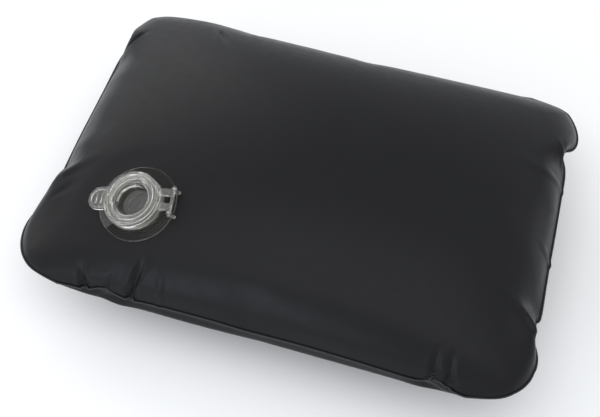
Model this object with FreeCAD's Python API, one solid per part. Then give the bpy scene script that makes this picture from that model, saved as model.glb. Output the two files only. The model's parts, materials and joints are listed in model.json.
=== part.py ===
import FreeCAD, Part
import math
import os

from FreeCAD import Vector

# Camp pillow: two welded panels of coated fabric, blown up through a clear valve on the top panel.
# Origin at the middle of the resting face, +X along the pillow, +Z up, millimetres.

# Pillow body, measured on the fabric's outer face
pillow_height = 100.0
seam_height = 50.0
half_length = 183.75       # before the sides pull in
half_depth = 133.48
side_pull = 6.0            # how far the air draws each side in at its middle
corner_fill = 0.97         # 0 gives an ellipse in plan, 1 a sharp rectangle
film = 0.5                 # thickness of the coated fabric
crown_latitude = 85.0      # the crown is flat above this latitude
rest_latitude = 80.0       # the lower panel lies flat below this one
outline_points = 48

# Welded edge
bead_width = 1.5
bead_height = 1.4

# Valve: where its axis crosses the fabric, and how the axis leans
valve_x = -100.0
valve_y = -73.5
lean_x = -14.0             # degrees, negative leans to -X
lean_y = -12.0             # degrees, negative leans to -Y
valve_turn = 8.0           # heading of the hinge side, degrees from +X

# Valve base
flange_radius = 27.0
flange_shift = 1.5
flange_thick = 1.2
bore_radius = 12.0
neck_radius = 14.0
neck_top = 6.0
neck_bottom = -12.0
rim_inner = 17.3
rim_radius = 19.5
rim_top = 4.0

# Hinge
pivot_reach = 28.0         # from the valve's axis
pivot_lift = 3.4
bar_radius = 1.1
bar_half = 10.2
lug_gap = 8.0              # half the clear width between the lugs
lug_thick = 1.4
lug_radius = 2.3
strap_width = 5.4
strap_gap = 4.7
strap_thick = 1.2
strap_level = 7.2
pin_gap = 0.1              # between the bar and the lugs' holes

# Cap
cap_radius = 19.5
cap_bottom = 4.3
cap_top = 8.6
plate_bottom = 6.3
plug_top_radius = 11.6
plug_tip_radius = 11.0
plug_tip = -3.0
well_radius = 10.6
well_floor = -2.0
tab_reach = 32.0
tab_width = 17.0
tab_thick = 1.3
raised = 0.5               # border and grip ribs over the tab's face
border_inset = 1.6
border_width = 1.0
rib_width = 1.0
rib_length = 8.0
rib_places = (-1.4, 2.3)   # from the middle of the tab's round end
plug_gap = 0.1             # between the plug and the bore

# Non-return valve in the neck
seat_inner = 9.6
seat_height = 2.5
hub_radius = 2.8
hub_hole = 1.4
spoke_width = 1.6
spoke_count = 4
flap_radius = 11.2
flap_thick = 0.8
flap_gap = 0.2
flap_travel = 2.5
stem_radius = 1.1
bulb_radius = 2.0
clearance = 0.3


# ---------- pillow body ----------

def outline_point(turn, level, grow):
    """Point of the contour where (1 - X^2)(1 - Y^2) = level, X and Y being shares of the half sizes."""
    mix = corner_fill * (math.sin(turn) * math.cos(turn)) ** 2
    if mix < 1e-9:
        radius = math.sqrt(1.0 - level)
    else:
        radius = math.sqrt((1.0 - math.sqrt(1.0 - 4.0 * mix * (1.0 - level))) / (2.0 * mix))
    along = radius * math.cos(turn)
    across = radius * math.sin(turn)
    x = (half_length + grow - side_pull * (1.0 - across ** 2)) * along
    y = (half_depth + grow - side_pull * (1.0 - along ** 2)) * across
    return x, y


def contour(latitude, rise, grow):
    """Closed curve round the pillow at one latitude; rise is the crown's height from the seam."""
    level = math.sin(math.radians(latitude)) ** 2
    z = seam_height + rise * math.sin(math.radians(latitude))
    points = []
    for step in range(outline_points):
        x, y = outline_point(2.0 * math.pi * step / outline_points, level, grow)
        points.append(Vector(x, y, z))
    curve = Part.BSplineCurve()
    curve.interpolate(Points=points, PeriodicFlag=True)
    return Part.Wire([curve.toShape()])


def half_body(rise, last_latitude, grow):
    """Solid from the seam to the crown (rise > 0) or to the resting face (rise < 0)."""
    latitudes = [0.0, 6.0, 14.0, 24.0, 35.0, 46.0, 57.0, 68.0, last_latitude]
    if last_latitude > 80.0:
        latitudes.insert(-1, 77.0)
    return Part.makeLoft([contour(angle, rise, grow) for angle in latitudes], True, False)


def upper_body(grow):
    return half_body(pillow_height - seam_height + grow, crown_latitude, grow)


def lower_body(grow):
    drop = seam_height / math.sin(math.radians(rest_latitude)) + grow
    return half_body(-drop, rest_latitude, grow)


# ---------- valve frame ----------

def valve_axis():
    x = math.sin(math.radians(lean_x))
    y = math.sin(math.radians(lean_y))
    return Vector(x, y, math.sqrt(1.0 - x * x - y * y))


def fabric_height(x, y):
    """Height of the upper panel's outer face over a point."""
    along = x / half_length
    across = y / half_depth
    for _ in range(8):
        along = x / (half_length - side_pull * (1.0 - across ** 2))
        across = y / (half_depth - side_pull * (1.0 - along ** 2))
    level = 1.0 - along ** 2 - across ** 2 + corner_fill * (along * across) ** 2
    return seam_height + (pillow_height - seam_height) * math.sqrt(level)


def valve_placement():
    """Local axes: x to the hinge, y along the hinge bar, z out of the fabric."""
    up = valve_axis()
    heading = Vector(math.cos(math.radians(valve_turn)), math.sin(math.radians(valve_turn)), 0.0)
    across = up.cross(heading).normalize()
    out = across.cross(up)
    origin = Vector(valve_x, valve_y, fabric_height(valve_x, valve_y))
    matrix = FreeCAD.Matrix(
        out.x, across.x, up.x, origin.x,
        out.y, across.y, up.y, origin.y,
        out.z, across.z, up.z, origin.z,
        0.0, 0.0, 0.0, 1.0)
    return FreeCAD.Placement(matrix)


def placed(shape):
    """A copy of a valve piece moved from the valve's own axes to the pillow's."""
    copy = shape.copy()
    copy.Placement = valve_placement().multiply(copy.Placement)
    return copy


def post(radius, bottom, top, x=0.0):
    return Part.makeCylinder(radius, top - bottom, Vector(x, 0.0, bottom))


def tube(inner, outer, bottom, top):
    return post(outer, bottom, top).cut(post(inner, bottom - 1.0, top + 1.0))


def cross_rod(radius, start, end):
    """Rod along the hinge bar's axis, between two places across the valve."""
    return Part.makeCylinder(radius, end - start, Vector(pivot_reach, start, pivot_lift), Vector(0, 1, 0))


# ---------- panels and edge ----------

def top_panel():
    hole = placed(post(neck_radius, neck_bottom, neck_top))
    return upper_body(0.0).cut(upper_body(-film)).cut(hole)


def bottom_panel():
    return lower_body(0.0).cut(lower_body(-film))


def edge_weld():
    """The bead just outside the two panels' meeting line."""
    ring = Part.Face(contour(0.0, 0.0, bead_width)).cut(Part.Face(contour(0.0, 0.0, 0.0)))
    ring.translate(Vector(0.0, 0.0, -0.5 * bead_height))
    return ring.extrude(Vector(0.0, 0.0, bead_height))


# ---------- valve ----------

def valve_base():
    """Flange that follows the fabric, with the neck, the outer rim and the two hinge lugs on it."""
    disc = placed(post(flange_radius, -20.0, 20.0, flange_shift))
    base = upper_body(flange_thick).common(disc).cut(upper_body(0.0))
    rim = tube(rim_inner, rim_radius, -10.0, rim_top)
    lugs = []
    for start in (lug_gap, -lug_gap - lug_thick):
        eye = cross_rod(lug_radius, start, start + lug_thick)
        stalk = Part.makeBox(2.0 * lug_radius, lug_thick, pivot_lift + 10.0,
                             Vector(pivot_reach - lug_radius, start, -10.0))
        lugs.append(eye.fuse(stalk).cut(cross_rod(bar_radius + pin_gap, start - 1.0, start + lug_thick + 1.0)))
    for piece in [rim] + lugs:
        base = base.fuse(placed(piece).cut(upper_body(0.0)))
    neck = post(neck_radius, neck_bottom, neck_top)
    bore = post(bore_radius, neck_bottom - 1.0, neck_top + 1.0)
    return base.fuse(placed(neck)).cut(placed(bore)).removeSplitter()


def cap_profile():
    """Half section of the cap: stepped ring outside, slope down to the sunk cup that plugs the neck."""
    points = [
        (0.0, plug_tip), (plug_tip_radius - 0.6, plug_tip), (plug_tip_radius, plug_tip + 0.6),
        (plug_top_radius, neck_top - 1.6), (bore_radius - plug_gap, neck_top - 0.8),
        (bore_radius - plug_gap, plate_bottom), (cap_radius - 1.6, plate_bottom), (cap_radius - 1.6, cap_bottom),
        (cap_radius, cap_bottom), (cap_radius, cap_top - 0.6), (cap_radius - 0.5, cap_top),
        (cap_radius - 1.5, cap_top), (cap_radius - 2.0, cap_top - 0.9), (cap_radius - 3.4, cap_top - 0.9),
        (cap_radius - 3.8, cap_top - 0.4), (cap_radius - 4.6, cap_top - 0.4), (cap_radius - 5.0, cap_top - 1.1),
        (well_radius + 1.2, neck_top + 0.2), (well_radius + 0.2, neck_top - 1.0),
        (well_radius - 0.4, well_floor + 0.8), (well_radius - 1.2, well_floor), (0.0, well_floor)]
    corners = [Vector(r, 0.0, z) for r, z in points]
    return Part.Face(Part.makePolygon(corners + corners[:1]))


def finger_tab():
    """Oval tab with a raised border and two grip ribs."""
    middle = tab_reach - 0.5 * tab_width
    level = strap_level - tab_thick
    half = 0.5 * tab_width

    def oval(inset, bottom, top):
        round_end = Part.makeCylinder(half - inset, top - bottom, Vector(-middle, 0.0, bottom))
        root = Part.makeBox(middle - cap_radius + 2.0, tab_width - 2.0 * inset, top - bottom,
                            Vector(-middle, inset - half, bottom))
        return round_end.fuse(root)

    tab = oval(0.0, level, level + tab_thick)
    face = level + tab_thick
    border = oval(border_inset, face, face + raised)
    tab = tab.fuse(border.cut(oval(border_inset + border_width, level, face + 2.0 * raised)))
    for place in rib_places:
        corner = Vector(-middle - place - 0.5 * rib_width, -0.5 * rib_length, face)
        tab = tab.fuse(Part.makeBox(rib_width, rib_length, raised, corner))
    return tab


def valve_cap():
    turned = cap_profile().revolve(Vector(0, 0, 0), Vector(0, 0, 1), 360.0)
    tab = finger_tab().cut(post(cap_radius - 0.8, plug_tip, cap_top + 1.0))
    return placed(turned.fuse(tab).removeSplitter())


def strap_profile():
    """Side view of one strap: level from the cap, then a quarter turn down to the hinge bar."""
    outer = strap_level - pivot_lift
    inner = outer - strap_thick
    bend_start = pivot_reach + 0.5 * strap_thick - outer
    root = cap_radius - 0.5
    slant = math.sqrt(0.5)
    outside = Part.Arc(Vector(bend_start, 0, strap_level),
                       Vector(bend_start + outer * slant, 0, pivot_lift + outer * slant),
                       Vector(bend_start + outer, 0, pivot_lift))
    inside = Part.Arc(Vector(bend_start + inner, 0, pivot_lift),
                      Vector(bend_start + inner * slant, 0, pivot_lift + inner * slant),
                      Vector(bend_start, 0, pivot_lift + inner))
    edges = [
        Part.LineSegment(Vector(root, 0, strap_level), Vector(bend_start, 0, strap_level)),
        outside,
        Part.LineSegment(Vector(bend_start + outer, 0, pivot_lift), Vector(bend_start + inner, 0, pivot_lift)),
        inside,
        Part.LineSegment(Vector(bend_start, 0, pivot_lift + inner), Vector(root, 0, pivot_lift + inner)),
        Part.LineSegment(Vector(root, 0, pivot_lift + inner), Vector(root, 0, strap_level))]
    return Part.Face(Part.Wire([edge.toShape() for edge in edges]))


def cap_straps():
    cap_wall = post(cap_radius, cap_bottom, cap_top)
    bar = cross_rod(bar_radius, -bar_half, bar_half)
    straps = []
    for start in (0.5 * strap_gap, -0.5 * strap_gap - strap_width):
        strap = strap_profile()
        strap.translate(Vector(0.0, start, 0.0))
        strap = strap.extrude(Vector(0.0, strap_width, 0.0)).cut(cap_wall).cut(bar)
        straps.append(placed(strap))
    return Part.makeCompound(straps)


def hinge_bar():
    bar = cross_rod(bar_radius, -bar_half, bar_half)
    for end in (-bar_half, bar_half):
        bar = bar.fuse(Part.makeSphere(bar_radius, Vector(pivot_reach, end, pivot_lift)))
    return placed(bar.removeSplitter())


def check_seat():
    """Ring pressed into the neck's lower end, with spokes to a bored hub."""
    top = neck_bottom + seat_height
    seat = tube(seat_inner, bore_radius, neck_bottom, top)
    for index in range(spoke_count):
        spoke = Part.makeBox(seat_inner + 0.8, spoke_width, seat_height,
                             Vector(0.0, -0.5 * spoke_width, neck_bottom))
        spoke.rotate(Vector(0, 0, 0), Vector(0, 0, 1), 360.0 * index / spoke_count)
        seat = seat.fuse(spoke)
    seat = seat.fuse(post(hub_radius, neck_bottom, top))
    return placed(seat.cut(post(hub_hole, neck_bottom - 1.0, top + 1.0)).removeSplitter())


def check_flap():
    """Soft disc under the seat, hung on a stem whose bulb stops it from dropping out of the hub."""
    disc_top = neck_bottom - flap_gap
    bulb_bottom = neck_bottom + seat_height + flap_travel + clearance
    flap = post(flap_radius, disc_top - flap_thick, disc_top)
    flap = flap.fuse(post(stem_radius, disc_top - flap_thick, bulb_bottom + 0.5))
    bulb = Part.makeCone(bulb_radius, 0.6, 1.6, Vector(0.0, 0.0, bulb_bottom))
    return placed(flap.fuse(bulb).removeSplitter())


pieces = {
    "top_panel": top_panel,
    "bottom_panel": bottom_panel,
    "edge_weld": edge_weld,
    "valve_base": valve_base,
    "valve_cap": valve_cap,
    "cap_straps": cap_straps,
    "hinge_bar": hinge_bar,
    "check_seat": check_seat,
    "check_flap": check_flap}

os.makedirs("parts", exist_ok=True)
for name, make in pieces.items():
    shape = make()
    box = shape.BoundBox
    print(name, "valid", shape.isValid(), "solids", len(shape.Solids), "volume %.1f" % shape.Volume,
          "x %.2f %.2f" % (box.XMin, box.XMax), "y %.2f %.2f" % (box.YMin, box.YMax),
          "z %.2f %.2f" % (box.ZMin, box.ZMax))
    shape.exportStep("parts/" + name + ".step")
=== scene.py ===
import json
import math

import bmesh
import bpy
import numpy as np
from mathutils import Matrix, Vector


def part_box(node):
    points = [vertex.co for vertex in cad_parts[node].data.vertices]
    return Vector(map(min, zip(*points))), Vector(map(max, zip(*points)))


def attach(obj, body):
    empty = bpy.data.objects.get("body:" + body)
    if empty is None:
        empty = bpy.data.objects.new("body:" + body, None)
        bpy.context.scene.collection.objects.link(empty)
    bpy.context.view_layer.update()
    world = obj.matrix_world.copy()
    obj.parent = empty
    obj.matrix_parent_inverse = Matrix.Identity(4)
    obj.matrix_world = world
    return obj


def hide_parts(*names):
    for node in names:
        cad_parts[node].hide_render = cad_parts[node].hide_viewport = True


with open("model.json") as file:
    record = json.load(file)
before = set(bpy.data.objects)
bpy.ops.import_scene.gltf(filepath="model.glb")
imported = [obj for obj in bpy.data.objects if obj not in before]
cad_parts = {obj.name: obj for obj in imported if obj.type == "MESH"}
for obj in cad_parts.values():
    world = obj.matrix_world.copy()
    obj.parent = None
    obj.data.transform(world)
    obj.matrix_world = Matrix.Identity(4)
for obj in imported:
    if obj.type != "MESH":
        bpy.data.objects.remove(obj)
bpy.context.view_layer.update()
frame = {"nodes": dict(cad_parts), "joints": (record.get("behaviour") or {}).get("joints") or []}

print("frame loaded:", sorted(frame["nodes"]))


# small tools

def unit(vector):
    # each row divided by its own length
    return vector / np.linalg.norm(vector, axis=-1, keepdims=True)


def smoothStep(value):
    # 0 below 0, 1 above 1, 3t^2 - 2t^3 between
    t = np.clip(value, 0.0, 1.0)
    return t * t * (3.0 - 2.0 * t)


def newPiece(name, points, faces, material, smooth=True):
    mesh = bpy.data.meshes.new(name)
    mesh.from_pydata(points.tolist(), [], faces.tolist() if hasattr(faces, "tolist") else faces)
    mesh.update()
    mesh.validate()
    mesh.polygons.foreach_set("use_smooth", [smooth] * len(mesh.polygons))
    piece = bpy.data.objects.new(name, mesh)
    bpy.context.scene.collection.objects.link(piece)
    if material:
        mesh.materials.append(material)
    return piece


def outwardFaces(piece):
    # every shell's faces turned to look outward
    work = bmesh.new()
    work.from_mesh(piece.data)
    bmesh.ops.recalc_face_normals(work, faces=work.faces)
    work.to_mesh(piece.data)
    work.free()


def gridFaces(rows, columns, closeRows=False, closeColumns=False):
    # quads of a grid of points, row by row, joined round where asked
    i = np.arange(rows if closeRows else rows - 1)
    j = np.arange(columns if closeColumns else columns - 1)
    row, column = np.meshgrid(i, j, indexing="ij")
    nextRow, nextColumn = (row + 1) % rows, (column + 1) % columns
    corners = [row * columns + column, nextRow * columns + column,
               nextRow * columns + nextColumn, row * columns + nextColumn]
    return np.stack(corners, -1).reshape(-1, 4)


# camera, light and floor

camera = {
    "turn": 16.3, "rise": 55.97, "roll": 0.77,     # degrees
    "distance": 0.7007, "aside": -0.0074, "up": -0.0182,
    "lens": 58.45, "sensor": 36.0,
}


def makeCamera():
    turn, rise, roll = (math.radians(camera[key]) for key in ("turn", "rise", "roll"))
    back = Vector((math.sin(turn) * math.cos(rise), -math.cos(turn) * math.cos(rise), math.sin(rise)))
    right = Vector((math.cos(turn), math.sin(turn), 0.0))
    up = back.cross(right)
    right, up = right * math.cos(roll) + up * math.sin(roll), up * math.cos(roll) - right * math.sin(roll)
    middle = Vector((0.0, 0.0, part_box("edge_weld")[0][2] + 0.0007))
    data = bpy.data.cameras.new("camera")
    data.lens, data.sensor_width = camera["lens"], camera["sensor"]
    data.clip_start, data.clip_end = 0.02, 50.0
    eye = bpy.data.objects.new("camera", data)
    place = Matrix((right, up, back)).transposed().to_4x4()
    place.translation = middle + back * camera["distance"] + right * camera["aside"] + up * camera["up"]
    eye.matrix_world = place
    bpy.context.scene.collection.objects.link(eye)
    bpy.context.scene.camera = eye


# name: (place, size, power in watts, colour)
lights = {
    "overhead": ((0.15, -0.6, 2.4), (3.0, 2.4), 19.0, (1.0, 1.0, 1.0)),
    "backLeft": ((-1.5, 1.5, 1.2), (1.6, 1.4), 9.0, (1.0, 0.995, 0.985)),
    "left": ((-2.0, -0.3, 1.0), (1.4, 1.2), 7.5, (1.0, 0.99, 0.975)),
    "frontFill": ((-0.5, -1.6, 0.7), (0.9, 0.6), 5.0, (0.8, 0.88, 1.0)),
}
surround = {"colour": (0.95, 0.97, 1.0, 1.0), "strength": 0.78}
ground = {"half": 20.0, "colour": (0.95, 0.95, 0.95, 1.0), "roughness": 0.85}


def makeLights():
    aim = Vector((0.0, 0.0, 0.05))
    for name, (place, size, power, colour) in lights.items():
        data = bpy.data.lights.new(name, "AREA")
        data.shape, data.size, data.size_y = "RECTANGLE", size[0], size[1]
        data.energy, data.color = power, colour
        lamp = bpy.data.objects.new(name, data)
        lamp.location = place
        lamp.rotation_euler = (Vector(place) - aim).to_track_quat("Z", "Y").to_euler()
        bpy.context.scene.collection.objects.link(lamp)
    world = bpy.data.worlds.new("studio")
    world.use_nodes = True
    world.node_tree.nodes["Background"].inputs["Color"].default_value = surround["colour"]
    world.node_tree.nodes["Background"].inputs["Strength"].default_value = surround["strength"]
    bpy.context.scene.world = world
    bpy.context.scene.view_settings.view_transform = "Standard"


def makeFloor():
    half = ground["half"]
    corners = np.array([[-half, -half, 0.0], [half, -half, 0.0], [half, half, 0.0], [-half, half, 0.0]])
    paper = bpy.data.materials.new("palePaper")
    paper.use_nodes = True
    surface = paper.node_tree.nodes["Principled BSDF"]
    surface.inputs["Base Color"].default_value = ground["colour"]
    surface.inputs["Roughness"].default_value = ground["roughness"]
    floor = newPiece("floor", corners, [[0, 1, 2, 3]], paper, smooth=False)


# shared shading groups

def newGroup(name, inputs, outputs):
    group = bpy.data.node_groups.new(name, "ShaderNodeTree")
    for label, kind, value in inputs:
        socket = group.interface.new_socket(label, in_out="INPUT", socket_type=kind)
        if value is not None:
            socket.default_value = value
    for label, kind in outputs:
        group.interface.new_socket(label, in_out="OUTPUT", socket_type=kind)
    return group, group.nodes.new("NodeGroupInput"), group.nodes.new("NodeGroupOutput")


def addNode(tree, kind, **settings):
    node = tree.nodes.new(kind)
    for key, value in settings.items():
        setattr(node, key, value)
    return node


def mathNode(tree, operation, first, second=None):
    node = addNode(tree, "ShaderNodeMath", operation=operation)
    for slot, value in ((0, first), (1, second)):
        if value is None:
            continue
        if isinstance(value, (int, float)):
            node.inputs[slot].default_value = value
        else:
            tree.links.new(value, node.inputs[slot])
    return node.outputs[0]


def makeWeaveGroup():
    # a plain weave: warp and weft ridges that take turns on a checker of threads
    group, given, result = newGroup(
        "tightWeave",
        [("Position", "NodeSocketVector", None), ("Threads", "NodeSocketFloat", 2600.0)],
        [("Height", "NodeSocketFloat")])
    scaled = addNode(group, "ShaderNodeVectorMath", operation="SCALE")
    group.links.new(given.outputs["Position"], scaled.inputs[0])
    group.links.new(given.outputs["Threads"], scaled.inputs["Scale"])
    parts = addNode(group, "ShaderNodeSeparateXYZ")
    group.links.new(scaled.outputs[0], parts.inputs[0])
    turns = [mathNode(group, "MULTIPLY", part, math.pi) for part in parts.outputs[:2]]
    warp, weft = (mathNode(group, "ABSOLUTE", mathNode(group, "SINE", turn)) for turn in turns)
    checker = addNode(group, "ShaderNodeTexChecker")
    checker.inputs["Color1"].default_value = (1, 1, 1, 1)
    checker.inputs["Color2"].default_value = (0, 0, 0, 1)
    checker.inputs["Scale"].default_value = 1.0
    group.links.new(scaled.outputs[0], checker.inputs["Vector"])
    over = checker.outputs["Fac"]
    under = mathNode(group, "SUBTRACT", 1.0, over)
    ridges = mathNode(group, "MULTIPLY", warp, over), mathNode(group, "MULTIPLY", weft, under)
    group.links.new(mathNode(group, "ADD", *ridges), result.inputs["Height"])
    return group


def makeMottleGroup():
    # slow and fine noise mixed, for handled plastics and coated cloth
    group, given, result = newGroup(
        "mottle",
        [("Position", "NodeSocketVector", None), ("Slow", "NodeSocketFloat", 18.0),
         ("Fine", "NodeSocketFloat", 240.0)],
        [("Slow", "NodeSocketFloat"), ("Fine", "NodeSocketFloat")])
    for label, detail in (("Slow", 3.0), ("Fine", 4.0)):
        noise = addNode(group, "ShaderNodeTexNoise")
        noise.inputs["Detail"].default_value = detail
        group.links.new(given.outputs["Position"], noise.inputs["Vector"])
        group.links.new(given.outputs[label], noise.inputs["Scale"])
        group.links.new(noise.outputs["Fac"], result.inputs[label])
    return group


weaveGroup = makeWeaveGroup()
mottleGroup = makeMottleGroup()


def startMaterial(name):
    material = bpy.data.materials.new(name)
    material.use_nodes = True
    tree = material.node_tree
    return material, tree, tree.nodes["Principled BSDF"]


def placeGroup(tree, group, position, **values):
    node = addNode(tree, "ShaderNodeGroup", node_tree=group)
    tree.links.new(position, node.inputs["Position"])
    for key, value in values.items():
        node.inputs[key].default_value = value
    return node


def rangeNode(tree, value, low, high, fromLow=0.0, fromHigh=1.0):
    node = addNode(tree, "ShaderNodeMapRange")
    tree.links.new(value, node.inputs["Value"])
    for key, number in (("From Min", fromLow), ("From Max", fromHigh), ("To Min", low), ("To Max", high)):
        node.inputs[key].default_value = number
    return node.outputs["Result"]


def mixColours(tree, factor, first, second):
    node = addNode(tree, "ShaderNodeMix", data_type="RGBA")
    tree.links.new(factor, node.inputs["Factor"])
    node.inputs["A"].default_value = (*first, 1.0)
    node.inputs["B"].default_value = (*second, 1.0)
    return node.outputs["Result"]


def addBump(tree, surface, layers):
    # each layer is (height, strength, distance in metres), laid over the one before
    normal = None
    for height, strength, distance in layers:
        bump = addNode(tree, "ShaderNodeBump")
        bump.inputs["Strength"].default_value = strength
        bump.inputs["Distance"].default_value = distance
        tree.links.new(height, bump.inputs["Height"])
        if normal:
            tree.links.new(normal, bump.inputs["Normal"])
        normal = bump.outputs["Normal"]
    tree.links.new(normal, surface.inputs["Normal"])


# materials

coatedCloth = {
    "dark": (0.006, 0.006, 0.0068), "light": (0.0085, 0.0085, 0.0095),
    "gloss": (0.34, 0.42), "mirror": 0.17, "sheen": 0.04, "threads": 2600.0,
}


def makeCoatedCloth():
    material, tree, surface = startMaterial("coatedCloth")
    flat = addNode(tree, "ShaderNodeUVMap", uv_map="flatCloth").outputs["UV"]
    place = addNode(tree, "ShaderNodeTexCoord").outputs["Object"]
    weave = placeGroup(tree, weaveGroup, flat, Threads=coatedCloth["threads"])
    mottle = placeGroup(tree, mottleGroup, place, Slow=16.0, Fine=170.0)
    tree.links.new(mixColours(tree, mottle.outputs["Slow"], coatedCloth["dark"], coatedCloth["light"]),
                   surface.inputs["Base Color"])
    tree.links.new(rangeNode(tree, mottle.outputs["Fine"], *coatedCloth["gloss"], 0.3, 0.7),
                   surface.inputs["Roughness"])
    surface.inputs["Sheen Weight"].default_value = coatedCloth["sheen"]
    surface.inputs["Sheen Roughness"].default_value = 0.45
    surface.inputs["Specular IOR Level"].default_value = coatedCloth["mirror"]
    addBump(tree, surface, [(mottle.outputs["Fine"], 0.12, 0.0006), (weave.outputs["Height"], 0.10, 0.00004)])
    return material


def makeBeadMaterial():
    material, tree, surface = startMaterial("meltedBead")
    place = addNode(tree, "ShaderNodeTexCoord").outputs["Object"]
    mottle = placeGroup(tree, mottleGroup, place, Slow=60.0, Fine=500.0)
    tree.links.new(mixColours(tree, mottle.outputs["Slow"], (0.004, 0.004, 0.0045), (0.009, 0.009, 0.01)),
                   surface.inputs["Base Color"])
    tree.links.new(rangeNode(tree, mottle.outputs["Fine"], 0.35, 0.55), surface.inputs["Roughness"])
    addBump(tree, surface, [(mottle.outputs["Fine"], 0.5, 0.0004)])
    return material


clearVinyl = {
    "clear": (0.97, 0.965, 0.93), "cloudy": (0.93, 0.92, 0.87), "gloss": (0.02, 0.07),
    "moulding": (0.965, 1.5), "flange": (1.0, 1.16),    # transmission, index
}


def makeClearVinyl(name, passed, index):
    material, tree, surface = startMaterial(name)
    place = addNode(tree, "ShaderNodeTexCoord").outputs["Object"]
    mottle = placeGroup(tree, mottleGroup, place, Slow=70.0, Fine=900.0)
    tree.links.new(mixColours(tree, mottle.outputs["Slow"], clearVinyl["clear"], clearVinyl["cloudy"]),
                   surface.inputs["Base Color"])
    tree.links.new(rangeNode(tree, mottle.outputs["Fine"], *clearVinyl["gloss"]), surface.inputs["Roughness"])
    surface.inputs["Transmission Weight"].default_value = passed
    surface.inputs["IOR"].default_value = index
    addBump(tree, surface, [(mottle.outputs["Slow"], 0.1, 0.0004), (mottle.outputs["Fine"], 0.03, 0.0001)])
    return material


def makeSoftSilicone():
    material, tree, surface = startMaterial("softSilicone")
    place = addNode(tree, "ShaderNodeTexCoord").outputs["Object"]
    mottle = placeGroup(tree, mottleGroup, place, Slow=90.0, Fine=700.0)
    # the greys are darker than the flap's own pale silicone: painted shade for the deep, unlit well under the
    # cap; the mix between the two greys is random tone
    tree.links.new(mixColours(tree, mottle.outputs["Slow"], (0.34, 0.34, 0.33), (0.44, 0.44, 0.42)),
                   surface.inputs["Base Color"])
    tree.links.new(rangeNode(tree, mottle.outputs["Fine"], 0.35, 0.5), surface.inputs["Roughness"])
    surface.inputs["Transmission Weight"].default_value = 0.97
    surface.inputs["IOR"].default_value = 1.2
    addBump(tree, surface, [(mottle.outputs["Fine"], 0.1, 0.0003)])
    return material


cloth = makeCoatedCloth()
beadMaterial = makeBeadMaterial()
vinyl = makeClearVinyl("clearVinyl", *clearVinyl["moulding"])
flangeVinyl = makeClearVinyl("flangeVinyl", *clearVinyl["flange"])
silicone = makeSoftSilicone()
print("materials made")


# valve axes

hinge = next(joint for joint in frame["joints"] if joint["name"] == "cap_hinge")
lift = next(joint for joint in frame["joints"] if joint["name"] == "flap_lift")
valve = {"pivotReach": 0.028, "pivotLift": 0.0034, "neck": 0.014, "flange": 0.027, "flangeShift": 0.0015}

valveUp = unit(np.array(lift["axis"]))
valveAcross = unit(np.array(hinge["axis"]))
valveOut = np.cross(valveAcross, valveUp)
valvePlace = np.array(hinge["pos_m"]) - valve["pivotReach"] * valveOut - valve["pivotLift"] * valveUp


def toValve(points):
    # out towards the hinge, across along its bar, up out of the cloth
    return (points - valvePlace) @ np.stack([valveOut, valveAcross, valveUp], 1)


def fromValve(points):
    return valvePlace + points @ np.stack([valveOut, valveAcross, valveUp])


# the valve, drawn in millimetres on its own axes

def roundedCorners(corners, radii, closed, steps=6):
    # each corner becomes (1-t)^2 A + 2t(1-t) P + t^2 B, with A and B a radius away from the corner P
    corners, radii = np.array(corners, float), np.array(radii, float)[:, None]
    before, after = np.roll(corners, 1, 0) - corners, np.roll(corners, -1, 0) - corners
    t = np.linspace(0.0, 1.0, steps)[None, :, None]
    first = corners + unit(before) * np.minimum(radii, 0.45 * np.linalg.norm(before, axis=1, keepdims=True))
    last = corners + unit(after) * np.minimum(radii, 0.45 * np.linalg.norm(after, axis=1, keepdims=True))
    rounded = (1 - t) ** 2 * first[:, None] + 2 * t * (1 - t) * corners[:, None] + t ** 2 * last[:, None]
    if closed:
        return rounded.reshape(-1, corners.shape[1])
    return np.vstack([corners[:1], rounded[1:-1].reshape(-1, corners.shape[1]), corners[-1:]])


def withMidpoints(path, longest=1.0):
    # long straight runs get more points, so that shading and bending stay smooth
    gaps = np.linalg.norm(np.diff(path[:, :2], axis=0), axis=1)
    counts = np.maximum(1, np.ceil(gaps / longest).astype(int))
    start = np.repeat(path[:-1], counts, 0)
    step = np.repeat(np.diff(path, axis=0), counts, 0)
    share = np.concatenate([np.arange(count) / count for count in counts])[:, None]
    return np.vstack([start + step * share, path[-1:]])


def capFan(count, offset, centre, flip):
    # triangles from the ring that starts at offset to one closing point
    i = np.arange(count)
    fan = [[int(a), int(b), centre] for a, b in zip(i + offset, (i + 1) % count + offset)]
    return [face[::-1] for face in fan] if flip else fan


def turnedPoints(profile, sides):
    # the profile (r, w) swept round the axis: u = r cos a, v = r sin a
    a = np.linspace(0.0, 2.0 * math.pi, sides, endpoint=False)[:, None]
    r, w = profile[None, :, 0], profile[None, :, 1]
    return np.stack([r * np.cos(a), r * np.sin(a), w + 0.0 * a], -1)


def clothUnder(local):
    # how far the cloth lies along the valve's axis from its plane, over a point (u, v) in millimetres
    w = np.zeros(local.shape[:-1])
    for _ in range(4):
        world = fromValve(np.stack([local[..., 0], local[..., 1], w], -1) * 0.001)
        w = w + (formHeight(world[..., 0], world[..., 1]) - world[..., 2]) / valveUp[2] * 1000.0
    return w


base = {
    "bore": 12.0, "neck": 14.0, "neckTop": 6.0, "neckFoot": -12.0,
    "rimIn": 17.3, "rimOut": 19.5, "rimTop": 4.0, "flange": 27.0, "thick": 1.2, "shift": 1.5,
    "sides": 160, "lugs": (-9.4, 8.0), "lugThick": 1.4, "lugHalf": 2.3, "lugBevel": 0.25, "hole": 1.2,
}
hingePin = {"reach": 28.0, "lift": 3.4, "radius": 1.1, "half": 10.2}


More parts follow.
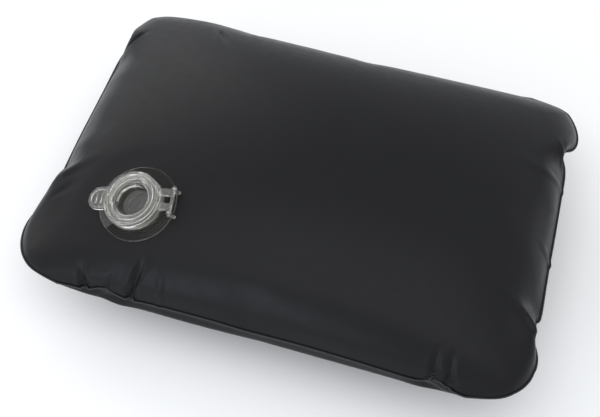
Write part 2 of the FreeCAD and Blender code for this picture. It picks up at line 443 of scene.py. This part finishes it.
def makeValveBase():
    # one closed section turned round the axis; the flange's part of it follows the cloth
    b = base
    # r, w, share that follows the cloth
    corners = [
        (b["bore"], b["neckFoot"], 0), (b["bore"], b["neckTop"], 0), (b["neck"], b["neckTop"], 0),
        (b["neck"], b["thick"], 1), (b["rimIn"], b["thick"], 1), (b["rimIn"], b["rimTop"], 0),
        (b["rimOut"], b["rimTop"], 0), (b["rimOut"], b["thick"], 1), (b["flange"], b["thick"], 1),
        (b["flange"], 0.0, 1), (b["neck"], 0.0, 1), (b["neck"], b["neckFoot"], 0)]
    radii = [0.4, 0.6, 0.6, 0.9, 0.6, 0.7, 0.7, 1.2, 0.6, 0.15, 0.1, 0.4]
    section = roundedCorners(corners, radii, True)
    section = withMidpoints(np.vstack([section, section[:1]]))[:-1]
    points = turnedPoints(section, b["sides"])
    follow = section[None, :, 2]
    spread = smoothStep((section[None, :, 0] - b["rimOut"]) / (b["flange"] - b["rimOut"]))
    points[..., 0] += b["shift"] * spread * follow
    points[..., 2] += follow * clothUnder(points)
    shell = points.reshape(-1, 3)
    faces = gridFaces(b["sides"], len(section), True, True)
    lugPoints, lugFaces = lugShells(len(shell))
    local = np.vstack([shell, lugPoints])
    piece = newPiece("valveBase", fromValve(local * 0.001), np.vstack([faces, lugFaces]), vinyl)
    piece.data.materials.append(flangeVinyl)
    centres = np.empty(len(piece.data.polygons) * 3)
    piece.data.polygons.foreach_get("center", centres)
    centres = toValve(centres.reshape(-1, 3)) * 1000.0
    plate = (np.hypot(centres[:, 0], centres[:, 1]) > b["rimOut"] + 0.3) & (centres[:, 2] < 1.6)
    plate &= np.hypot(centres[:, 0] - b["shift"], centres[:, 1]) < b["flange"] - 0.35
    piece.data.polygons.foreach_set("material_index", plate.astype(np.int32))
    return piece


def lugShells(offset):
    # a plate with a round head about the pin's hole: rings at outline, hole, far hole and far outline
    t = np.linspace(0.0, 2.0 * math.pi, 64, endpoint=False)
    half = base["lugHalf"]
    foot = np.array([[hingePin["reach"], 0.0, 0.0]])
    depth = hingePin["lift"] - clothUnder(foot)[0] - 0.5 * base["thick"]
    stretch = np.minimum(half / np.maximum(np.abs(np.cos(t)), 1e-6), depth / np.maximum(-np.sin(t), 1e-6))
    reach = np.where(np.sin(t) < 0.0, stretch, half)
    pieces, joins = [], []
    bevel = base["lugBevel"]
    for start in base["lugs"]:
        ends = (start, start + bevel, start + base["lugThick"] - bevel, start + base["lugThick"])
        insets = (bevel, 0.0, 0.0, bevel)
        rings = [(reach - inset, v) for inset, v in zip(insets, ends)]
        rings += [(0.0 * t + base["hole"], ends[3]), (0.0 * t + base["hole"], ends[0])]
        grid = np.stack([np.stack([hingePin["reach"] + r * np.cos(t), v + 0.0 * t,
                                   hingePin["lift"] + r * np.sin(t)], -1) for r, v in rings], 0)
        joins.append(gridFaces(len(rings), len(t), True, True) + offset + sum(len(piece) for piece in pieces))
        pieces.append(grid.reshape(-1, 3))
    return np.vstack(pieces), np.vstack(joins)


cap = {
    "radius": 19.5, "foot": 4.3, "top": 8.6, "plate": 6.3, "plugTop": 11.6, "plugTip": 11.0, "tip": -3.0,
    "well": 10.6, "floor": -2.0, "sides": 160,
    "tabReach": 32.0, "tabWidth": 17.0, "tabThick": 1.3, "tabTop": 7.2, "raised": 0.5,
    "tabRound": 0.45, "soft": 0.45, "border": (1.3, 2.35),
    "ribs": (-1.4, 2.3), "ribHalf": 0.3, "ribReach": 3.7,
}


def makeValveCap():
    # half section from the axis out to the rim and back down the sunk cup, turned round the axis
    c = cap
    corners = [
        (0.0, c["tip"]), (c["plugTip"], c["tip"]), (c["plugTop"], 4.4), (11.9, 5.2), (11.9, c["plate"]),
        (c["radius"] - 1.6, c["plate"]), (c["radius"] - 1.6, c["foot"]), (c["radius"], c["foot"]),
        (c["radius"], c["top"]), (c["radius"] - 1.7, c["top"]), (c["radius"] - 2.1, c["top"] - 1.0),
        (c["radius"] - 3.4, c["top"] - 1.0), (c["radius"] - 3.7, c["top"] - 0.3),
        (c["radius"] - 4.7, c["top"] - 0.3),
        (c["radius"] - 5.1, c["top"] - 1.2), (c["well"] + 1.3, 6.2), (c["well"] + 0.2, 5.0),
        (c["well"] - 0.4, -1.2), (c["well"] - 1.2, c["floor"]), (0.0, c["floor"])]
    radii = [0, 0.7, 0.5, 0.3, 0.2, 0.4, 0.3, 0.5, 0.8, 0.7, 0.4, 0.4, 0.4, 0.4, 0.6, 0.6, 0.8, 0.6, 0.7, 0]
    section = withMidpoints(roundedCorners(corners, radii, False))
    grid = turnedPoints(section[1:-1], c["sides"])
    count = grid.shape[1]
    shell = np.vstack([grid.reshape(-1, 3), [[0.0, 0.0, c["tip"]], [0.0, 0.0, c["floor"]]]])
    first = np.arange(c["sides"]) * count
    after = np.roll(first, -1)
    last = count - 1
    fans = np.vstack([np.stack([after, 0 * first + len(shell) - 2, first], -1),
                      np.stack([0 * first + len(shell) - 1, after + last, first + last], -1)])
    faces = gridFaces(c["sides"], count, True, False).tolist() + fans.tolist()
    tabPoints, tabFaces = tabShell(len(shell))
    return newPiece("valveCap", fromValve(np.vstack([shell, tabPoints]) * 0.001), faces + tabFaces, vinyl)


def tabShell(offset):
    # polar grid over the oval; height = face + raised border and ribs, edge rounded as a quarter ellipse
    c = cap
    half = 0.5 * c["tabWidth"]
    middle = c["tabReach"] - half
    t = np.linspace(0.0, 2.0 * math.pi, 180, endpoint=False)[None, :]
    inner = middle - c["radius"] + 1.0
    box = np.minimum(inner / np.maximum(np.cos(t), 1e-6), half / np.maximum(np.abs(np.sin(t)), 1e-6))
    reach = np.where(np.cos(t) > 0.0, box, half)
    share = np.linspace(0.02, 1.0, 64)[:, None]
    x, y = share * reach * np.cos(t), share * reach * np.sin(t)
    inset = half - np.hypot(np.minimum(x, 0.0), y)
    border = smoothStep((inset - c["border"][0]) / c["soft"])
    border = border * (1.0 - smoothStep((inset - c["border"][1]) / c["soft"]))
    ribs = sum((1.0 - smoothStep((np.abs(x + place) - c["ribHalf"]) / 0.4)) for place in c["ribs"])
    ribs = ribs * (1.0 - smoothStep((np.abs(y) - c["ribReach"]) / 0.5))
    near = np.clip(1.0 - inset / c["tabRound"], 0.0, 1.0)
    edge = c["tabRound"] * (1.0 - np.sqrt(np.clip(1.0 - near ** 2, 0.0, 1.0)))
    top = c["tabTop"] - edge + c["raised"] * np.maximum(border, ribs)
    low = c["tabTop"] - c["tabThick"] + edge
    upper = np.stack([x - middle, y, top], -1)
    lower = np.stack([x - middle, y, low], -1)[::-1]
    grid = np.concatenate([upper, lower], 0)
    rows, columns = grid.shape[:2]
    middles = [[-middle, 0.0, c["tabTop"]], [-middle, 0.0, c["tabTop"] - c["tabThick"]]]
    points = np.vstack([grid.reshape(-1, 3), middles])
    faces = gridFaces(rows, columns, False, True) + offset
    last = rows * columns
    fans = capFan(columns, offset, last + offset, True)
    fans += capFan(columns, offset + (rows - 1) * columns, last + 1 + offset, False)
    return points, faces.tolist() + fans


straps = {"width": 5.4, "gap": 4.7, "thick": 1.2, "level": 7.2, "root": 18.6}


def makeStraps():
    # a flat oval carried level from the cap, then down a quarter circle to the pin
    s = straps
    bend = s["level"] - 0.5 * s["thick"] - hingePin["lift"]
    turn = np.linspace(0.0, 0.5 * math.pi, 24)
    level = np.linspace(s["root"], hingePin["reach"] - bend, 12)[:-1]
    path = np.vstack([np.stack([level, 0.0 * level + s["level"] - 0.5 * s["thick"], 0.0 * level], -1),
                      np.stack([hingePin["reach"] - bend + bend * np.sin(turn),
                                hingePin["lift"] + bend * np.cos(turn), turn], -1)])
    h, w = 0.5 * s["thick"], 0.5 * s["width"]
    oval = roundedCorners([(-w, -h), (w, -h), (w, h), (-w, h)], [0.45] * 4, True)
    tilt = path[:, 2][:, None]
    points, faces = [], []
    for middle in (0.5 * (s["gap"] + s["width"]), -0.5 * (s["gap"] + s["width"])):
        grid = np.stack([path[:, :1] + oval[None, :, 1] * np.sin(tilt),
                         middle + oval[None, :, 0] + 0.0 * tilt,
                         path[:, 1:2] + oval[None, :, 1] * np.cos(tilt)], -1)
        start = sum(len(piece) for piece in points)
        faces += (gridFaces(len(path), len(oval), False, True) + start).tolist()
        faces += [list(range(start + len(oval) - 1, start - 1, -1)),
                  list(range(start + (len(path) - 1) * len(oval), start + len(path) * len(oval)))]
        points.append(grid.reshape(-1, 3))
    return newPiece("capStraps", fromValve(np.vstack(points) * 0.001), faces, vinyl)


def makeHingeBar():
    # a capsule turned round the pin's line
    p = hingePin
    a = np.linspace(-0.5 * math.pi, 0.5 * math.pi, 17)[1:-1]
    low, high = a[a < 1e-9], a[a > -1e-9]
    along = np.concatenate([-p["half"] + p["radius"] * np.sin(low), p["half"] + p["radius"] * np.sin(high)])
    wide = p["radius"] * np.cos(np.concatenate([low, high]))
    t = np.linspace(0.0, 2.0 * math.pi, 32, endpoint=False)[None, :]
    grid = np.stack([p["reach"] + wide[:, None] * np.cos(t), along[:, None] + 0.0 * t,
                     p["lift"] + wide[:, None] * np.sin(t)], -1)
    tips = [[p["reach"], side * (p["half"] + p["radius"]), p["lift"]] for side in (-1.0, 1.0)]
    rows, columns = grid.shape[:2]
    faces = gridFaces(rows, columns, False, True).tolist()
    faces += capFan(columns, 0, rows * columns, False)
    faces += capFan(columns, (rows - 1) * columns, rows * columns + 1, True)
    points = np.vstack([grid.reshape(-1, 3), tips])
    return newPiece("hingeBar", fromValve(points * 0.001), faces, vinyl)


# the filled pillow

pillow = {
    "columns": 76, "rows": 54,
    "halfLength": 0.186, "halfDepth": 0.134, "cornerRadius": 0.045,
    "bowEnds": -0.003, "bowSides": -0.006,          # how far the cut sides bow out at their middles
    "dome": 0.038,
    "volume": 0.0055, "frames": 40, "quality": 8, "mass": 0.3, "damping": 5.0, "bendDamping": 0.5,
    "stretch": 40.0, "squeeze": 20.0, "shear": 10.0, "bend": 2.0,
    "simScale": 10.0,
    "restDepth": 0.0032, "restBelow": 0.045, "restSoftness": 0.0014,
    "calm": 0.85, "calmFrom": 0.004, "calmOver": 0.030,    # how far the top is drawn to the smooth form
    "frontBulge": 0.005, "bulgeHeight": 0.036, "bulgeSpread": 0.014,
    "bulgeGathers": ((-0.104, 0.8), (0.121, 0.6)), "gatherSpread": 0.014,    # place and share of each
    "backDraw": 0.005, "leftDraw": -0.0008,
    "pocketDepth": 0.0168, "underFlange": 0.00012, "holdOver": 0.02, "neckGap": 0.00005, "neckRing": 0.0008,
    # where the edge gathers: x, y, depth, lift, spread
    "puckers": [
        (-0.108, -0.130, 0.0024, 0.0026, 0.008),
        (0.121, -0.130, 0.0032, 0.0032, 0.008),
        (0.178, -0.0785, 0.004, 0.004, 0.012),
        (0.178, 0.075, 0.004, 0.004, 0.012),
        (-0.110, 0.130, 0.002, 0.002, 0.012),
        (-0.178, 0.087, 0.006, 0.005, 0.009),
        (-0.178, -0.060, 0.003, 0.003, 0.009),
    ],
}

# folds that run in from the gathers: x and y of the outer end, of the inner end, width and depth; a depth
# below 0 is a ridge
folds = np.array([
    (-0.0866, -0.1249, -0.0786, -0.0965, 0.0048, 0.0036),
    (-0.1189, -0.1278, -0.1259, -0.1132, 0.0042, 0.0028),
    (-0.1036, -0.1239, -0.0969, -0.1148, 0.0026, 0.0013),
    (-0.0670, -0.1231, -0.0687, -0.1040, 0.0040, -0.0007),
    (0.1172, -0.1248, 0.1151, -0.1060, 0.0032, 0.0022),
    (0.1275, -0.1221, 0.1239, -0.1047, 0.0034, 0.0022),
    (0.1737, -0.0801, 0.1545, -0.0587, 0.0034, -0.0015),
    (0.1766, -0.0701, 0.1650, -0.0570, 0.0034, 0.0013),
    (0.1721, 0.0436, 0.1277, 0.0430, 0.0060, -0.0005),
    (0.1756, -0.0195, 0.1614, -0.0076, 0.0040, -0.0007),
    (0.1695, 0.0638, 0.1611, 0.0812, 0.0026, -0.0010),
    (-0.1661, 0.0773, -0.1558, 0.0940, 0.0030, 0.0018),
    (-0.1611, -0.0571, -0.1347, -0.0330, 0.0060, -0.0010),
    (-0.1609, -0.0746, -0.1411, -0.0579, 0.0050, 0.0007),
    (-0.0996, 0.0961, -0.0873, 0.0762, 0.0040, 0.0010),
    (0.1856, -0.1025, 0.1709, -0.0986, 0.0040, 0.0006),
])

# the form that the frame gives the panels: a rounded pillow, height as the root of (1 - X^2)(1 - Y^2)
form = {
    "halfLength": 0.18375, "halfDepth": 0.13348, "sidePull": 0.006, "cornerFill": 0.97,
    "rise": 0.05, "seam": 0.05,
}


def formHeight(x, y):
    along, across = x / form["halfLength"], y / form["halfDepth"]
    for _ in range(8):
        along = x / (form["halfLength"] - form["sidePull"] * (1.0 - across ** 2))
        across = y / (form["halfDepth"] - form["sidePull"] * (1.0 - along ** 2))
    level = 1.0 - along ** 2 - across ** 2 + form["cornerFill"] * (along * across) ** 2
    return form["seam"] + form["rise"] * np.sqrt(np.clip(level, 0.0, 1.0))


def cutPattern():
    # a panel as a grid: across = halfDepth * v, along = u * the cut's half length at that row, sides bowed
    u, v = np.meshgrid(np.linspace(-1.0, 1.0, pillow["columns"] + 1),
                       np.linspace(-1.0, 1.0, pillow["rows"] + 1), indexing="ij")
    across = pillow["halfDepth"] * v
    radius = pillow["cornerRadius"]
    past = np.clip(np.abs(across) - (pillow["halfDepth"] - radius), 0.0, None)
    reach = pillow["halfLength"] - radius + np.sqrt(np.clip(radius ** 2 - past ** 2, 0.0, None))
    along = u * reach
    x = along * (1.0 + pillow["bowEnds"] / pillow["halfLength"] * (1.0 - v ** 2))
    middle = 1.0 - (along / pillow["halfLength"]) ** 2
    y = across * (1.0 + pillow["bowSides"] / pillow["halfDepth"] * middle)
    height = pillow["dome"] * np.sqrt(np.clip((1.0 - u ** 2) * (1.0 - v ** 2), 0.0, None))
    return x, y, height


def pillowMesh():
    # both panels share the grid's outer points; side is 1 on the upper panel, 0 on the seam, -1 on the lower
    x, y, height = cutPattern()
    upper = np.arange(x.size).reshape(x.shape)
    inside = np.zeros(x.shape, bool)
    inside[1:-1, 1:-1] = True
    lower = upper.copy()
    lower[inside] = x.size + np.arange(inside.sum())

    def quads(grid):
        return np.stack([grid[:-1, :-1], grid[1:, :-1], grid[1:, 1:], grid[:-1, 1:]], -1).reshape(-1, 4)

    def both(grid):
        return np.concatenate([grid.reshape(-1, grid.shape[-1]), grid[inside]])

    faces = np.vstack([quads(upper), quads(lower)[:, ::-1]])
    square = np.stack(np.meshgrid(np.linspace(-1.0, 1.0, x.shape[0]), np.linspace(-1.0, 1.0, x.shape[1]),
                                  indexing="ij"), -1)
    side = np.concatenate([inside.ravel() * 1.0, np.full(inside.sum(), -1.0)])
    points = both(np.stack([x, y, height], -1))
    points[x.size:, 2] *= -1.0
    return points, faces, both(np.stack([x, y], -1)), both(square), side


def gathered(points):
    # each pucker pushes the edge in and up by depth * exp(-(distance / spread)^2)
    moved = points.copy()
    for px, py, depth, rise, spread in pillow["puckers"]:
        near = np.exp(-(((points[:, 0] - px) ** 2 + (points[:, 1] - py) ** 2) / spread ** 2))
        end = abs(px) > 0.15
        moved[:, 0] -= near * depth * math.copysign(1.0, px) * end
        moved[:, 1] -= near * depth * math.copysign(1.0, py) * (not end)
        moved[:, 2] += near * rise
    return moved


def inflate(points, faces):
    # air at a set volume fills the cut cloth; the cut is ten times life size so that the solver is steady
    scale = pillow["simScale"]
    piece = newPiece("cutCloth", gathered(points) * scale, faces, None)
    piece.shape_key_add(name="Basis")
    cut = piece.shape_key_add(name="cut")
    cut.data.foreach_set("co", (points * scale).ravel())
    blower = piece.modifiers.new("air", "CLOTH")
    settings = blower.settings
    settings.rest_shape_key = cut
    settings.quality, settings.mass, settings.air_damping = pillow["quality"], pillow["mass"], 1.0
    settings.tension_stiffness, settings.compression_stiffness = pillow["stretch"], pillow["squeeze"]
    settings.shear_stiffness, settings.bending_stiffness = pillow["shear"], pillow["bend"]
    settings.tension_damping = settings.compression_damping = settings.shear_damping = pillow["damping"]
    settings.bending_damping = pillow["bendDamping"]
    settings.use_pressure, settings.use_pressure_volume = True, True
    settings.uniform_pressure_force = 0.0
    settings.target_volume = pillow["volume"] * scale ** 3
    settings.effector_weights.gravity = 0.0
    blower.collision_settings.use_collision = False
    blower.collision_settings.use_self_collision = False
    for step in range(1, pillow["frames"] + 1):
        bpy.context.scene.frame_set(step)
    done = piece.evaluated_get(bpy.context.evaluated_depsgraph_get()).data
    filled = np.empty(len(done.vertices) * 3)
    done.vertices.foreach_get("co", filled)
    bpy.data.objects.remove(piece, do_unlink=True)
    bpy.context.scene.frame_set(1)
    return filled.reshape(-1, 3) / scale


def fitToFrame(points):
    # the filled cloth is centred and brought to the frame's own length, depth and height
    low, high = np.array(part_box("bottom_panel")[0]), np.array(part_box("top_panel")[1])
    mine = points.min(0), points.max(0)
    return low + (points - mine[0]) / (mine[1] - mine[0]) * (high - low)


def lieOnFloor(points):
    # the lowest part is pressed down by restDepth, and z becomes the smooth maximum of that and the floor
    down = points[:, 2] - pillow["restDepth"] * (1.0 - smoothStep(points[:, 2] / pillow["restBelow"]))
    lying = points.copy()
    lying[:, 2] = 0.5 * (down + np.sqrt(down ** 2 + pillow["restSoftness"] ** 2))
    return lying


def calmTop(points, above):
    # away from the edge the top's height is drawn to the frame's smooth form
    inside = np.minimum(form["halfLength"] - np.abs(points[:, 0]), form["halfDepth"] - np.abs(points[:, 1]))
    share = pillow["calm"] * smoothStep((inside - pillow["calmFrom"]) / pillow["calmOver"]) * above
    calm = points.copy()
    calm[:, 2] += share * (formHeight(points[:, 0], points[:, 1]) - points[:, 2])
    return calm


def bulgeFront(points):
    # under the front seam the lower panel swells: depth * exp(-((z - height) / spread)^2), less towards +x
    under = smoothStep((form["seam"] - points[:, 2]) / 0.010)
    level = np.exp(-((points[:, 2] - pillow["bulgeHeight"]) / pillow["bulgeSpread"]) ** 2)
    along = 1.45 - 0.5 * smoothStep((points[:, 0] + 0.16) / 0.28)
    gathers = sum(share * np.exp(-((points[:, 0] - place) / pillow["gatherSpread"]) ** 2)
                  for place, share in pillow["bulgeGathers"])
    front = smoothStep((-points[:, 1] - 0.06) / 0.04)
    front = front * (1.0 - smoothStep((np.abs(points[:, 0]) - 0.155) / 0.028))
    swollen = points.copy()
    swollen[:, 1] -= pillow["frontBulge"] * (along + gathers) * under * level * front
    return swollen


def drawInSides(points):
    # the back and the left side come in by draw * (1 - (place along the side)^2)
    along, across = points[:, 0] / form["halfLength"], points[:, 1] / form["halfDepth"]
    drawn = points.copy()
    alongBack = np.clip(1.0 - (1.1 * along) ** 2, 0.0, 1.0)
    alongLeft = np.clip(1.0 - (1.3 * across) ** 2, 0.0, 1.0)
    drawn[:, 1] -= pillow["backDraw"] * smoothStep(across / 0.9) * alongBack
    drawn[:, 0] += pillow["leftDraw"] * smoothStep(-along / 0.95) * alongLeft
    return drawn


def foldTop(points, normals, above):
    # across each fold the cloth moves by -depth * (1 - (d/w)^2) exp(-(d/w)^2), fading towards the inner end
    start, end = folds[:, 0:2], folds[:, 2:4]
    line = end - start
    length = np.linalg.norm(line, axis=1)
    moved = points.copy()
    for index in range(len(folds)):
        offset = points[:, :2] - start[index]
        t = offset @ line[index] / length[index] ** 2
        across = (offset[:, 0] * line[index, 1] - offset[:, 1] * line[index, 0]) / length[index]
        wide = folds[index, 4] * (0.55 + 0.75 * np.clip(t, 0.0, 1.0))
        fade = (1.0 - smoothStep(t)) * np.exp(-(np.minimum(t, 0.0) * length[index] / 0.004) ** 2)
        ratio = (across / wide) ** 2
        moved -= (folds[index, 5] * (1.0 - ratio) * np.exp(-ratio) * fade * above)[:, None] * normals
    return moved


def holdAtValve(points, above):
    # the welded flange holds the cloth to the frame's own surface, fading out round it
    local = toValve(points)
    away = np.hypot(local[:, 0] - valve["flangeShift"], local[:, 1])
    held = (1.0 - smoothStep((away - valve["flange"] - 0.001) / pillow["holdOver"])) * above
    shaped = points.copy()
    shaped[:, 2] += held * (formHeight(points[:, 0], points[:, 1]) - pillow["underFlange"] - points[:, 2])
    return shaped


def openForNeck(where, above):
    # points close to the neck move onto its circle, so that the hole is round
    local = toValve(where)
    away = np.hypot(local[:, 0], local[:, 1])
    ring = above & (np.abs(away - valve["neck"]) < pillow["neckRing"])
    local[ring, :2] *= ((valve["neck"] + pillow["neckGap"]) / away[ring])[:, None]
    opened = where.copy()
    opened[ring] = fromValve(local)[ring]
    return opened


def sinkPocket(mesh):
    # the cloth inside the neck goes, and a closed well takes the neck and the flap under it
    work = bmesh.new()
    work.from_mesh(mesh)
    middle, up = Vector(valvePlace), Vector(valveUp)
    gone = []
    for face in work.faces:
        offset = face.calc_center_median() - middle
        if abs(offset.dot(up)) < 0.012 and (offset - up * offset.dot(up)).length < valve["neck"]:
            gone.append(face)
    bmesh.ops.delete(work, geom=gone, context="FACES")
    edges = [edge for edge in work.edges if edge.is_boundary]
    for vertex in {vertex for edge in edges for vertex in edge.verts}:
        offset = vertex.co - middle
        height = offset.dot(up)
        flat = offset - up * height
        vertex.co = middle + up * height + flat * ((valve["neck"] + pillow["neckGap"]) / flat.length)
    wall = bmesh.ops.extrude_edge_only(work, edges=edges)["geom"]
    for vertex in [item for item in wall if isinstance(item, bmesh.types.BMVert)]:
        offset = vertex.co - middle
        vertex.co = middle + offset - up * offset.dot(up) - up * pillow["pocketDepth"]
    bmesh.ops.holes_fill(work, edges=[item for item in wall if isinstance(item, bmesh.types.BMEdge)], sides=0)
    bmesh.ops.recalc_face_normals(work, faces=work.faces)
    work.to_mesh(mesh)
    work.free()


def readPoints(mesh, name="co"):
    values = np.empty(len(mesh.vertices) * 3)
    mesh.vertices.foreach_get(name, values)
    return values.reshape(-1, 3)


def addValues(mesh, name, values):
    mesh.attributes.new(name, "FLOAT", "POINT").data.foreach_set("value", values.astype(np.float32))


def readValues(mesh, name):
    values = np.empty(len(mesh.vertices), np.float32)
    mesh.attributes[name].data.foreach_get("value", values)
    return values


def makePillow():
    points, faces, flat, square, side = pillowMesh()
    filled = inflate(points, faces)
    print("pillow filled, size", np.round(filled.max(0) - filled.min(0), 4))
    rough = newPiece("roughPillow", lieOnFloor(fitToFrame(filled)), faces, cloth)
    mesh = rough.data
    layer = mesh.uv_layers.new(name="flatCloth")
    corner = np.empty(len(mesh.loops), np.int32)
    mesh.loops.foreach_get("vertex_index", corner)
    layer.data.foreach_set("uv", flat[corner].ravel())
    addValues(mesh, "side", side)
    addValues(mesh, "squareU", square[:, 0])
    addValues(mesh, "squareV", square[:, 1])
    ends = np.empty(len(mesh.edges) * 2, np.int32)
    mesh.edges.foreach_get("vertices", ends)
    first, second = square[ends.reshape(-1, 2)].transpose(1, 0, 2)
    onSeam = ((np.abs(first) > 0.9999) & (np.abs(second) > 0.9999) & (first * second > 0)).any(1)
    mesh.attributes.new("crease_edge", "FLOAT", "EDGE").data.foreach_set("value", onSeam.astype(np.float32))
    rounder = rough.modifiers.new("rounder", "SUBSURF")
    rounder.levels = rounder.render_levels = 2
    smooth = bpy.data.meshes.new_from_object(rough.evaluated_get(bpy.context.evaluated_depsgraph_get()))
    bpy.data.objects.remove(rough, do_unlink=True)
    skin = bpy.data.objects.new("filledPillow", smooth)
    bpy.context.scene.collection.objects.link(skin)
    where = readPoints(smooth)
    above = readValues(smooth, "side") > -0.01
    squareU, squareV = readValues(smooth, "squareU"), readValues(smooth, "squareV")
    around = np.maximum(np.abs(squareU), np.abs(squareV)) > 0.9999
    turn = np.arctan2(squareV, squareU)
    where = drawInSides(bulgeFront(calmTop(where, above)))
    smooth.vertices.foreach_set("co", where.ravel())
    where = holdAtValve(foldTop(where, readPoints(smooth, "normal"), above), above)
    where = openForNeck(where, above)
    smooth.vertices.foreach_set("co", where.ravel())
    smooth.update()
    seam = np.flatnonzero(around)
    path = where[seam[np.argsort(turn[seam])]]
    sinkPocket(smooth)
    smooth.polygons.foreach_set("use_smooth", [True] * len(smooth.polygons))
    return skin, path


bead = {"half": 0.00065, "thick": 0.0005, "out": 0.0004, "sides": 12}


def makeBead(path):
    # an oval carried round the seam: seam + outward * (out + half cos t) + up * thick sin t
    ahead = unit(np.roll(path, -1, 0) - np.roll(path, 1, 0))
    outward = unit(np.stack([ahead[:, 1], -ahead[:, 0], np.zeros(len(path))], 1))
    up = np.cross(outward, ahead)
    t = np.linspace(0.0, 2.0 * math.pi, bead["sides"], endpoint=False)
    ring = (path[:, None] + outward[:, None] * (bead["out"] + bead["half"] * np.cos(t))[None, :, None]
            + up[:, None] * (bead["thick"] * np.sin(t))[None, :, None])
    return newPiece("weldBead", ring.reshape(-1, 3),
                    gridFaces(len(path), bead["sides"], True, True), beadMaterial)


makeCamera()
makeLights()
makeFloor()
print("studio set")

skin, seamPath = makePillow()
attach(skin, "root")
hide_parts("top_panel", "bottom_panel")
weldBead = makeBead(seamPath)
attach(weldBead, "root")
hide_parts("edge_weld")
print("pillow made:", len(skin.data.polygons), "faces")

for make, node, body in ((makeValveBase, "valve_base", "root"), (makeValveCap, "valve_cap", "cap"),
                         (makeStraps, "cap_straps", "cap"), (makeHingeBar, "hinge_bar", "cap")):
    piece = make()
    outwardFaces(piece)
    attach(piece, body)
    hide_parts(node)
for place in frame["nodes"]["check_seat"].material_slots:
    place.material = flangeVinyl
for place in frame["nodes"]["check_flap"].material_slots:
    place.material = silicone
print("valve finished")
